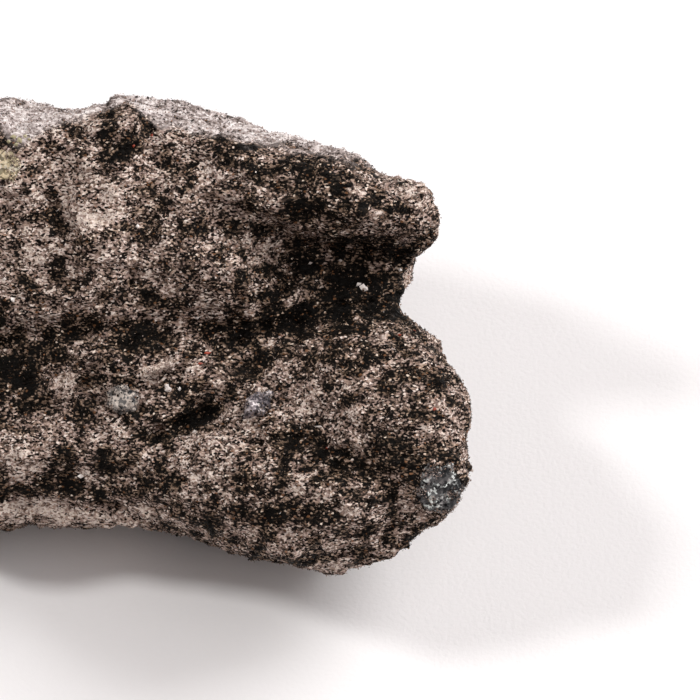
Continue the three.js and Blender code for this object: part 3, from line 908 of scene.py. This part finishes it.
@dataclass
class SchistBlock:
    """The block of stone, which stands for the frame's schist.

    Attributes:
        crystals: The crystals whose pockets are filled under them.
        form_voxel_mm: Fineness while the fine relief is cut.
        form_smoothing: How many times it is smoothed before that.
        skin_voxel_mm: Fineness of the finished skin.
        plug_growth: How much larger than its crystal the filling of a pocket is.
        plug_sink_mm: How far the filling lies below the crystal's outer end.
        wander_mm: How far the relief's lines wander, along and up the face.
        flat_mm: Height under which the stone belongs to the worn flat.
        roughenings: The sizes of bump, from large to small.
    """

    crystals: Sequence["Crystal"]
    form_voxel_mm: float = 0.5
    form_smoothing: int = 7
    skin_voxel_mm: float = 0.465
    plug_growth: float = 1.22
    plug_sink_mm: float = 1.0
    wander_mm: tuple[float, float] = (0.5, 0.35)
    flat_mm: float = 0.35
    roughenings: tuple[Roughening, ...] = (
        Roughening(Texture.CLOUDS, 3.4, 1.1, hard=True),
        Roughening(Texture.CLOUDS, 1.5, 0.5, along_layers=True, hard=True),
        Roughening(Texture.STUCCI, 1.7, 0.55),
        Roughening(Texture.CLOUDS, 0.8, 0.5),
    )
    piece: Piece = field(init=False)

    def build(self) -> Piece:
        """Makes the block's mesh and dresses it.

        Returns:
            The block's object.
        """
        self.piece = copy_of_node("schist", "schist_block")
        self._fill_pockets()
        apply_modifier(self.piece, "REMESH", mode="VOXEL", voxel_size=self.form_voxel_mm * MM)
        apply_modifier(self.piece, "SMOOTH", factor=0.5, iterations=self.form_smoothing)
        self._cut_relief()
        apply_modifier(self.piece, "REMESH", mode="VOXEL", voxel_size=self.skin_voxel_mm * MM)
        for roughening in self.roughenings:
            roughening.apply(self.piece)
        self._flatten_base()
        self._write_zones()
        finish_piece(self.piece, SchistFinish().material())
        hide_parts("schist")
        return self.piece

    def _fill_pockets(self) -> None:
        """Joins a grown, sunk copy of each crystal to the block, so that its pocket is full below."""
        plugs = []
        for crystal in self.crystals:
            plug = copy_of_node(crystal.node, f"{crystal.node}_plug")
            places = places_of(plug)
            middle = places.mean(axis=0)
            sunk = np.array(crystal.toward()) * self.plug_sink_mm * MM
            move_vertices(plug, middle + (places - middle) * self.plug_growth - sunk)
            plugs.append(plug)
        select_only(*plugs, self.piece)
        bpy.ops.object.join()

    def _cut_relief(self) -> None:
        """Moves the visible side's vertices out or in along the face's own direction."""
        places = places_of(self.piece)
        on_face = FACE.from_frame(places)
        facing = normals_of(self.piece) @ FACE.axes()[2]
        shown = smooth(facing, -0.1, 0.45) * smooth(on_face[:, 2], -6.0, 0.0)
        wander = bumps(places / MM, 5.0, 2)[:, None] * np.array(self.wander_mm)
        a, b = (on_face[:, :2] + wander).T
        moves = sum(push.moves(*on_face[:, :2].T) for push in PUSHES)
        moves[:, 2] += sum(shape.height(a, b) for shape in RELIEF) * shown
        move_vertices(self.piece, places + moves @ FACE.axes() * MM)

    def _flatten_base(self) -> None:
        """Keeps the worn flat under the block on the surface that it lies on."""
        places = places_of(self.piece)
        places[:, 2] = np.maximum(places[:, 2], 0.0)
        places[places[:, 2] < self.flat_mm * MM, 2] = 0.0
        move_vertices(self.piece, places)

    def _write_zones(self) -> None:
        """Stores how pale the stone is, with painted shade in its recesses and under its ledges and
        painted bounce light on the underside rim, and where the upper slope is painted paler, partly as
        painted light.
        """
        places = places_of(self.piece)
        on_face = FACE.from_frame(places)
        a, b = on_face[:, 0], on_face[:, 1]
        shown = smooth(on_face[:, 2], -2.0, 4.0)
        wander = bumps(places / MM, 4.0, 3, 3.0)
        # Painted shade and painted bounce light: the face patches darken the recesses and the undersides
        # of ledges and lighten the underside rim.
        patches = sum(tint.height(a + 1.2 * wander, b + 0.9 * wander) for tint in TINTS_AND_PAINTED_LIGHT_AND_SHADE)
        layers = np.array(FACE.layers())
        drawn_out = places / MM / 9.0 + np.outer((places @ layers) / MM, layers) / 3.5
        bands = 0.16 * bumps(drawn_out, 1.0, 3, 7.0)
        lenses = 0.12 * bumps(drawn_out * 9.0, 2.6, 3, 5.0)
        clusters = 0.44 * bumps(places / MM, 2.4, 4, 9.0)
        pale = (0.5 + patches * shown + bands) + (lenses + clusters)
        write_attribute(self.piece, "paleness", np.clip(pale, 0.0, 1.0))
        # Partly painted light: the slope mask follows faces that turn up and back toward the lights past
        # the crest line, so the paler ramp lands where light falls.
        tilt = math.radians(FACE.slope_tilt)
        slope_out = np.array(FACE.direction(0.0, math.sin(tilt), math.cos(tilt)))
        faces_up = smooth(normals_of(self.piece) @ slope_out, 0.35, 0.75)
        over = smooth(FACE.over_crest(on_face) + 1.2 * wander, -0.6, 0.8)
        write_attribute(self.piece, "slope", faces_up * over)


@dataclass(frozen=True)
class GrainKind:
    """One kind of grain or flake that lies on the stone.

    Attributes:
        name: Its piece's name.
        count: How many there are.
        sides: Number of triangles of each: 4 or 8.
        radius_mm: Smallest and largest half width.
        flatness: Smallest and largest half thickness, as a share of the half width.
        stray: How far a grain turns from the layers or the surface: 0 lies true, 1 lies any way.
        on_layers: Share of the grains that lie in the layers and not along the surface.
        lift_mm: Height of its middle over the surface.
        prefers: How its number changes with the stone's paleness: 1 pale, -1 dark, 0 neither.
        finish: Its finish.
    """

    name: str
    count: int
    sides: int
    radius_mm: tuple[float, float]
    flatness: tuple[float, float]
    stray: float
    on_layers: float
    lift_mm: float
    prefers: float
    finish: GrainFinish


MICA = GrainFinish(
    "black_mica", ((0.0, (0.0025, 0.0015, 0.001)), (1.0, (0.018, 0.012, 0.009))), 0.45, 1.18
)
FELDSPAR = GrainFinish(
    "beige_feldspar",
    (
        (0.0, (0.080, 0.055, 0.044)),
        (0.35, (0.270, 0.192, 0.160)),
        (0.75, (0.520, 0.400, 0.350)),
        (1.0, (0.840, 0.740, 0.680)),
    ),
    0.6,
    1.3,
    (0.260, 0.170, 0.100),
)
SILVER = GrainFinish("silver_mica", ((0.0, (0.58, 0.51, 0.47)), (1.0, (0.92, 0.86, 0.82))), 0.3, 1.6)
RUST = GrainFinish("rusty_grain", ((0.0, (0.14, 0.060, 0.025)), (1.0, (0.36, 0.16, 0.070))), 0.6)
OLIVE = GrainFinish("olive_grain", ((0.0, (0.34, 0.30, 0.17)), (1.0, (0.56, 0.50, 0.34))), 0.5)
RED = GrainFinish("red_grain", ((0.0, (0.26, 0.035, 0.015)), (1.0, (0.45, 0.070, 0.030))), 0.5)

GRAINS: tuple[GrainKind, ...] = (
    GrainKind("mica_flakes", 20000, 8, (0.1, 0.23), (0.14, 0.34), 0.35, 0.25, 0.0, -0.8, MICA),
    GrainKind("mica_scales", 49000, 4, (0.065, 0.14), (0.3, 0.6), 0.45, 0.3, 0.01, -0.6, MICA),
    GrainKind("feldspar_grains", 20000, 8, (0.08, 0.18), (0.4, 0.8), 0.8, 0.3, 0.01, 1.0, FELDSPAR),
    GrainKind("feldspar_crumbs", 49000, 4, (0.06, 0.135), (0.5, 0.9), 0.7, 0.2, 0.01, 0.7, FELDSPAR),
    GrainKind("silver_flakes", 260, 8, (0.1, 0.26), (0.12, 0.3), 0.9, 0.3, 0.06, 0.3, SILVER),
    GrainKind("rusty_grains", 500, 8, (0.1, 0.2), (0.4, 0.8), 0.9, 0.3, 0.04, 0.0, RUST),
)
"""Grains that lie all over the stone."""


@dataclass(frozen=True)
class NamedGrains:
    """Large grains that the photograph shows one by one.

    Attributes:
        name: Their piece's name.
        grains: Each grain's (a, b) place, its two half widths in mm and its turn in degrees.
        finish: Their finish.
        thick_mm: Their half thickness.
        lift_mm: Height of their middles over the surface.
    """

    name: str
    grains: tuple[tuple[float, float, float, float, float], ...]
    finish: GrainFinish
    thick_mm: float = 0.16
    lift_mm: float = 0.06


NAMED_GRAINS: tuple[NamedGrains, ...] = (
    NamedGrains(
        "white_flakes",
        (
            (32.2, 5.4, 0.6, 0.45, -15), (31.7, 5.7, 0.45, 0.4, 30), (32.6, 5.2, 0.4, 0.35, 60),
            (36.9, 7.6, 0.35, 0.25, -20), (29.4, 8.8, 0.25, 0.2, 0), (25.6, 8.4, 0.3, 0.22, 20),
            (8.0, -7.4, 0.45, 0.5, 10), (7.8, -7.0, 0.35, 0.4, 50), (9.4, -7.4, 0.3, 0.35, 0),
            (11.3, -12.7, 0.35, 0.25, 10), (26.9, -12.0, 0.75, 0.16, -8), (-6.6, -13.7, 0.22, 0.2, 0),
            (-2.9, -18.2, 0.45, 0.3, 0), (-11.5, 3.8, 0.3, 0.4, 30), (-12.5, 6.3, 0.4, 0.3, 0),
            (11.5, 1.6, 0.4, 0.3, 20), (4.1, 12.9, 0.25, 0.3, 0),
        ),
        SILVER,
    ),
    NamedGrains(
        "red_grains",
        (
            (12.7, -2.9, 0.75, 0.2, 8), (11.9, -4.2, 0.45, 0.18, 5), (41.0, -9.8, 0.3, 0.35, 0),
            (36.9, -0.7, 0.35, 0.15, -25), (38.7, -0.1, 0.3, 0.15, -20), (27.8, -14.6, 0.2, 0.15, 0),
            (3.5, 23.1, 0.25, 0.25, 0), (5.7, 24.4, 0.3, 0.2, 60),
        ),
        RED,
    ),
    NamedGrains(
        "olive_grains",
        (
            (-11.6, 24.2, 0.5, 0.35, 10), (-10.8, 23.8, 0.45, 0.4, 30), (-10.1, 24.3, 0.4, 0.3, -20),
            (-12.2, 23.6, 0.35, 0.3, 0), (-11.2, 23.3, 0.4, 0.25, 15), (-9.6, 23.9, 0.3, 0.2, 0),
        ),
        OLIVE,
    ),
)
"""Grains placed from the photograph."""


@dataclass
class GrainCover:
    """The grains that lie all over the stone.

    Attributes:
        block: The stone's finished object.
        crystals: Crystals whose middles stay bare.
        seed: Start of the random draws.
        scatter_mm: How far a grain may lie from the middle of its spot.
        choosiness: How strongly a kind's number follows the stone's paleness.
        margin_crowding: How much denser grains lie on the crystals' margins.
        margin_lift_mm: How much higher they lie there.
        narrowness: Smallest and largest second half width, as a share of the first.
        raggedness: How far a grain's corners stray, as a share of its half widths.
        bare_foot_mm: Height under which no grain lies.
        clearance_mm: Height under which no corner of a grain reaches.
    """

    block: Piece
    crystals: Sequence["Crystal"]
    seed: int = 11
    scatter_mm: float = 0.2
    choosiness: float = 3.3
    margin_crowding: float = 5.0
    margin_lift_mm: float = 0.07
    narrowness: tuple[float, float] = (0.35, 0.85)
    raggedness: float = 0.25
    bare_foot_mm: float = 0.4
    clearance_mm: float = 0.05

    def build(self) -> None:
        """Scatters every kind of grain."""
        rng = np.random.default_rng(self.seed)
        centres, normals, room, paleness = self._ground()
        for kind in GRAINS:
            # Paleness includes painted shade and painted bounce light, so black mica grains also crowd
            # into the recesses and under the ledges as painted shade, and pale grains gather on the
            # bounce-lit underside rim.
            weight = room * np.exp(kind.prefers * self.choosiness * (paleness - 0.5))
            chosen = rng.choice(len(room), kind.count, p=weight / weight.sum())
            aside = rng.uniform(-self.scatter_mm, self.scatter_mm, (kind.count, 3))
            spots = centres[chosen] + aside * MM
            self._scatter(kind, spots, normals[chosen], paleness[chosen], rng)
        for named in NAMED_GRAINS:
            self._place(named, rng)

    def _ground(self) -> tuple[np.ndarray, ...]:
        """Where grains may lie: the stone, and the crystals' margins.

        Returns:
            The centres and normals of all polygons, the room for grains and the paleness there.
        """
        centres, normals, areas = self._polygons(self.block)
        clear = self._clear_of_crystals(centres) & (centres[:, 2] > self.bare_foot_mm * MM)
        ground = [(centres, normals, areas * clear, self._on_polygons("paleness"))]
        for crystal in self.crystals:
            centres, normals, areas = self._polygons(crystal.piece)
            room = self.margin_crowding * areas * crystal.margin(centres, normals)
            paleness = 0.55 + 0.5 * bumps(centres / MM, 1.2, 2, 4.0)
            ground.append((centres + self.margin_lift_mm * MM * normals, normals, room, paleness))
        return tuple(np.concatenate(parts) for parts in zip(*ground))

    @staticmethod
    def _polygons(piece: Piece) -> tuple[np.ndarray, np.ndarray, np.ndarray]:
        """The centres, normals and areas of a piece's polygons."""
        polygons = piece.data.polygons
        return read(polygons, "center", 3), read(polygons, "normal", 3), read(polygons, "area")

    def _on_polygons(self, name: str) -> np.ndarray:
        """A vertex attribute's value at each polygon's first corner."""
        mesh = self.block.data
        starts = read(mesh.polygons, "loop_start", kind=int)
        corners = read(mesh.loops, "vertex_index", kind=int)[starts]
        return read(mesh.attributes[name].data, "value")[corners]

    def _clear_of_crystals(self, centres: np.ndarray) -> np.ndarray:
        """Whether each place is clear of the middle of every crystal."""
        clear = np.ones(len(centres), bool)
        for crystal in self.crystals:
            low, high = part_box(crystal.node)
            middle, half = (low + high) / 2, (high - low).length / 2
            clear &= np.linalg.norm(centres - np.array(middle), axis=1) > half * crystal.bare_share
        return clear

    def _scatter(
        self,
        kind: GrainKind,
        spots: np.ndarray,
        normals: np.ndarray,
        paleness: np.ndarray,
        rng: np.random.Generator,
    ) -> None:
        """Makes one piece of all the grains of a kind.

        Args:
            kind: The kind of grain.
            spots: Where their middles are on the stone.
            normals: Which way the stone faces there.
            paleness: How pale the stone is there.
            rng: The random draws.
        """
        count = len(spots)
        in_layers = rng.random(count) < kind.on_layers
        upright = np.where(in_layers[:, None], np.array(FACE.layers()), normals)
        upright = upright + kind.stray * rng.normal(0.0, 1.0, (count, 3))
        upright /= np.linalg.norm(upright, axis=1, keepdims=True)
        aside = np.cross(upright, rng.normal(0.0, 1.0, (count, 3)))
        aside /= np.linalg.norm(aside, axis=1, keepdims=True)
        third = np.cross(upright, aside)
        radius = rng.uniform(*kind.radius_mm, count) * MM
        narrow = radius * rng.uniform(*self.narrowness, count)
        thick = radius * rng.uniform(*kind.flatness, count)
        halves = (aside * radius[:, None], third * narrow[:, None], upright * thick[:, None])
        axes = np.stack(halves, axis=1)
        middles = spots + normals * kind.lift_mm * MM
        piece = self._copy_grain(kind.name, kind.sides, middles, axes, rng)
        corners = len(piece.data.vertices) // count
        write_attribute(piece, "patch", np.repeat(paleness, corners))
        finish_piece(piece, kind.finish.material())

    def _place(self, named: NamedGrains, rng: np.random.Generator) -> None:
        """Lays grains on the face where the photograph shows them.

        Args:
            named: The grains.
            rng: The random draws.
        """
        tree = BVHTree.FromObject(self.block, bpy.context.evaluated_depsgraph_get())
        toward = FACE.direction(0, 0, 1)
        middles, axes = [], []
        for a, b, half, narrow, turn in named.grains:
            spot, normal, _, _ = tree.ray_cast(FACE.to_frame(a, b, FACE.clear_mm), -toward)
            out = (normal + 2 * toward).normalized()
            angle = math.radians(turn)
            across = FACE.direction(math.cos(angle), math.sin(angle), 0.0).cross(out).normalized()
            aside = out.cross(across)
            middles.append(spot + out * named.lift_mm * MM)
            axes.append([aside * half * MM, out.cross(aside) * narrow * MM, out * named.thick_mm * MM])
        piece = self._copy_grain(named.name, 8, np.array(middles), np.array(axes), rng)
        finish_piece(piece, named.finish.material())

    def _copy_grain(
        self, name: str, sides: int, middles: np.ndarray, axes: np.ndarray, rng: np.random.Generator
    ) -> Piece:
        """Makes one piece of many copies of a grain.

        Args:
            name: The piece's name.
            sides: Number of triangles of the grain.
            middles: The copies' middles.
            axes: Three half axes of each copy.
            rng: The random draws.

        Returns:
            The piece, with each copy's tone in its attribute tone.
        """
        shape, faces = self._one_grain(sides)
        count = len(middles)
        stray = rng.uniform(-self.raggedness, self.raggedness, (count, *shape.shape))
        corners = shape[None] * (1.0 + stray)
        places = middles[:, None] + np.einsum("nij,njk->nik", corners, axes)
        places[..., 2] = np.maximum(places[..., 2], self.clearance_mm * MM)
        offsets = np.arange(count)[:, None, None] * len(shape)
        mesh = bpy.data.meshes.new(name)
        mesh.from_pydata(places.reshape(-1, 3), [], (faces[None] + offsets).reshape(-1, 3))
        piece = link_new(name, mesh)
        write_attribute(piece, "tone", np.repeat(rng.random(count), len(shape)))
        return piece

    @staticmethod
    def _one_grain(sides: int) -> tuple[np.ndarray, np.ndarray]:
        """Models the grain that is copied.

        Args:
            sides: Number of its triangles: 8 for a double pyramid, 4 for a single one.

        Returns:
            Its corners, about one unit from the middle, and its triangles.
        """
        bpy.ops.object.select_all(action="DESELECT")
        cone = {"radius1": 1.0, "radius2": 0.0, "depth": 1.0}
        if sides == 8:
            cone |= {"vertices": 4, "end_fill_type": "NOTHING", "location": (0, 0, 0.5)}
        else:
            cone |= {"vertices": 3, "end_fill_type": "NGON", "location": (0, 0, 0.2)}
        bpy.ops.mesh.primitive_cone_add(**cone)
        grain = bpy.context.object
        bpy.ops.object.transform_apply(location=True)
        if sides == 8:
            apply_modifier(grain, "MIRROR", use_axis=(False, False, True))
        corners = places_of(grain)
        faces = np.array([tuple(polygon.vertices) for polygon in grain.data.polygons])
        bpy.data.objects.remove(grain)
        return corners, faces


@dataclass
class Crystal:
    """A crystal that has grown in the stone and was broken with it.

    Attributes:
        node: The frame's node that it stands for.
        look: The (a, b, c) direction that its outer end looks in.
        finish: Its finish.
        slot: The record's slot of its finish; it is not used.
        growth_mm: How much it is grown to fill its pocket.
        edge_mm: Width that its edges are worn to.
        voxel_mm: Fineness of its mesh.
        breaks: The shell-shaped chips and the fine breaks on it.
        smooth_angle: Edges sharper than this stay sharp, in degrees.
        bare_share: Share of its half width that grains keep clear of.
        margin_share: Share of its half width in which they close up.
        piece: The finished object, once it is built.
    """

    node: str
    look: tuple[float, float, float]
    finish: CrystalFinish
    slot: Slot
    growth_mm: float = 0.25
    edge_mm: float = 0.25
    voxel_mm: float = 0.16
    breaks: tuple[Roughening, ...] = (
        Roughening(Texture.VORONOI, 1.7, -0.5, level=0.35),
        Roughening(Texture.CLOUDS, 0.6, 0.22, hard=True),
    )
    smooth_angle: float = 28.0
    bare_share: float = 0.55
    margin_share: float = 0.3
    piece: Piece = field(init=False)

    def toward(self) -> Vector:
        """The direction in the frame that the outer end looks in."""
        return FACE.direction(*self.look)

    def build(self) -> None:
        """Makes the crystal's mesh and dresses it."""
        piece = copy_of_node(self.node, f"{self.node}_crystal")
        bpy.ops.object.mode_set(mode="EDIT")
        bpy.ops.mesh.select_all(action="SELECT")
        bpy.ops.transform.shrink_fatten(value=self.growth_mm * MM)
        bpy.ops.object.mode_set(mode="OBJECT")
        apply_modifier(piece, "BEVEL", width=self.edge_mm * MM, segments=2, limit_method="ANGLE")
        apply_modifier(piece, "REMESH", mode="VOXEL", voxel_size=self.voxel_mm * MM)
        for roughening in self.breaks:
            roughening.apply(piece)
        select_only(piece)
        bpy.ops.object.shade_smooth_by_angle(angle=math.radians(self.smooth_angle))
        finish_piece(piece, self.finish.material())
        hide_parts(self.node)
        self.piece = piece

    def margin(self, centres: np.ndarray, normals: np.ndarray) -> np.ndarray:
        """How far places on the crystal belong to its ragged, grain-covered margin.

        Args:
            centres: The places.
            normals: Which way the crystal faces there.

        Returns:
            0 on the bare middle and under the stone, 1 at the outer edge.
        """
        toward = np.array(self.toward())
        off = centres - np.mean(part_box(self.node), axis=0)
        along = off @ toward
        aside = np.linalg.norm(off - np.outer(along, toward), axis=1)
        reach = aside / np.quantile(aside, 0.95) + 0.6 * bumps(centres / MM, 1.5, 3)
        shown = (normals @ toward > 0.1) & (along > 0.5 * along.max())
        return smooth(reach, self.bare_share, self.bare_share + self.margin_share) * shown


ALEXANDRITE = CrystalFinish(
    "alexandrite",
    deep=(0.005, 0.006, 0.008),
    cloudy=(0.350, 0.325, 0.320),
    fleck=(0.880, 0.920, 0.890),
    cloud_level=0.57,
    fleck_level=0.3,
    transmission=0.15,
)
GREY_ALEXANDRITE = CrystalFinish(
    "grey_alexandrite",
    deep=(0.030, 0.036, 0.042),
    cloudy=(0.620, 0.550, 0.490),
    fleck=(0.820, 0.720, 0.640),
    cloud_level=0.46,
    fleck_level=0.3,
    transmission=0.1,
)
VIOLET_ALEXANDRITE = CrystalFinish(
    "violet_alexandrite",
    deep=(0.014, 0.013, 0.020),
    cloudy=(0.400, 0.350, 0.370),
    fleck=(0.860, 0.790, 0.790),
    cloud_level=0.49,
    fleck_level=0.3,
    transmission=0.1,
)
PALE_CHRYSOBERYL = CrystalFinish(
    "pale_chrysoberyl",
    deep=(0.110, 0.086, 0.038),
    cloudy=(0.790, 0.660, 0.440),
    fleck=(0.900, 0.830, 0.680),
    cloud_level=0.4,
    fleck_level=0.35,
    transmission=0.1,
)

CRYSTALS: tuple[Crystal, ...] = (
    Crystal("alexandrite_end", (0.45, -0.22, 0.86), ALEXANDRITE, Slot.ALEXANDRITE, bare_share=0.5),
    Crystal("alexandrite_face", (-0.1, 0.18, 0.98), GREY_ALEXANDRITE, Slot.ALEXANDRITE, bare_share=0.4),
    Crystal("alexandrite_seam", (-0.1, 0.45, 0.88), VIOLET_ALEXANDRITE, Slot.ALEXANDRITE, bare_share=0.4),
    Crystal("chrysoberyl_pale", (-0.05, 0.3, 0.95), PALE_CHRYSOBERYL, Slot.CHRYSOBERYL),
)


@dataclass(frozen=True)
class Softbox:
    """A soft light beside the specimen.

    Attributes:
        name: The light's name.
        from_direction: Where it stands as seen from the specimen.
        away: Its distance.
        size: The side of its square.
        power: Its power in watts.
        colour: Its colour.
    """

    name: str
    from_direction: tuple[float, float, float]
    away: float
    size: float
    power: float
    colour: Colour

    def build(self, target: Vector) -> None:
        """Makes the light, looking at a target."""
        light = bpy.data.lights.new(self.name, "AREA")
        light.size = self.size
        light.energy = self.power
        light.color = self.colour
        lamp = link_new(self.name, light)
        direction = Vector(self.from_direction).normalized()
        lamp.location = target + direction * self.away
        lamp.rotation_mode = "QUATERNION"
        lamp.rotation_quaternion = direction.to_track_quat("Z", "Y")


@dataclass
class Studio:
    """White paper, soft lights and the camera at the photograph's angle.

    Attributes:
        aim_mm: The (a, b, c) place at the middle of the picture.
        away: The camera's distance from it.
        seen_width: Width of the picture there.
        paper_side: Side of the paper.
        paper_colour: Its colour.
        sky: Colour of the surround that fills the shadows.
        sky_strength: Its brightness.
        lit: Place that the lights look at.
        softboxes: The lights.
    """

    aim_mm: tuple[float, float, float] = (30.6, -2.5, 8.0)
    away: float = 0.9
    seen_width: float = 0.0875
    paper_side: float = 4.0
    paper_colour: Colour = (0.86, 0.855, 0.86)
    sky: Colour = (1.0, 0.72, 0.69)
    sky_strength: float = 0.1
    lit: tuple[float, float, float] = (0.0, 0.0, 0.018)
    softboxes: tuple[Softbox, ...] = (
        Softbox("left_softbox", (-1.03, 0.07, 1.0), 0.9, 0.18, 4.2, (1.0, 0.985, 0.97)),
        Softbox("right_softbox", (1.15, 0.7, 1.0), 0.9, 0.5, 7.0, (1.0, 0.985, 0.98)),
        Softbox("front_softbox", (0.85, -0.4, 0.85), 0.9, 1.6, 8.8, (1.0, 0.975, 0.97)),
    )

    def build(self) -> None:
        """Makes everything around the specimen."""
        self._lay_paper()
        for softbox in self.softboxes:
            softbox.build(Vector(self.lit))
        self._light_sky()
        self._place_camera()

    def _lay_paper(self) -> None:
        """Lays the pale paper under the specimen."""
        bpy.ops.object.select_all(action="DESELECT")
        bpy.ops.mesh.primitive_plane_add(size=self.paper_side)
        paper = bpy.context.object
        paper.name = "paper"
        nodes = MaterialNodes("white_paper")
        fibres = nodes.bump(nodes.noise(0.6, 3.0), 0.05)
        material = nodes.finish(base_color=self.paper_colour, roughness=0.9, normal=fibres)
        paper.data.materials.append(material)

    def _light_sky(self) -> None:
        """Fills the shadows with an even, pale surround."""
        world = bpy.data.worlds.new("surround")
        world.use_nodes = True
        background = world.node_tree.nodes["Background"]
        background.inputs["Color"].default_value = (*self.sky, 1.0)
        background.inputs["Strength"].default_value = self.sky_strength
        bpy.context.scene.world = world

    def _place_camera(self) -> None:
        """Puts the camera square to the broken face, as the photograph was taken."""
        data = bpy.data.cameras.new("camera")
        data.lens = data.sensor_width * self.away / self.seen_width
        camera = link_new("camera", data)
        a, b, c = self.aim_mm
        camera.location = FACE.to_frame(a, b, c + self.away / MM)
        camera.rotation_mode = "QUATERNION"
        camera.rotation_quaternion = Matrix(FACE.axes().T.tolist()).to_quaternion()
        bpy.context.scene.camera = camera


def main() -> None:
    """Builds the specimen, then everything around it."""
    logging.basicConfig(level=logging.INFO, format="%(message)s")
    block = SchistBlock(CRYSTALS).build()
    for crystal in CRYSTALS:
        crystal.build()
    GrainCover(block, CRYSTALS).build()
    Studio().build()
    bpy.context.scene.view_settings.view_transform = "Standard"


if __name__ == "__main__":
    main()
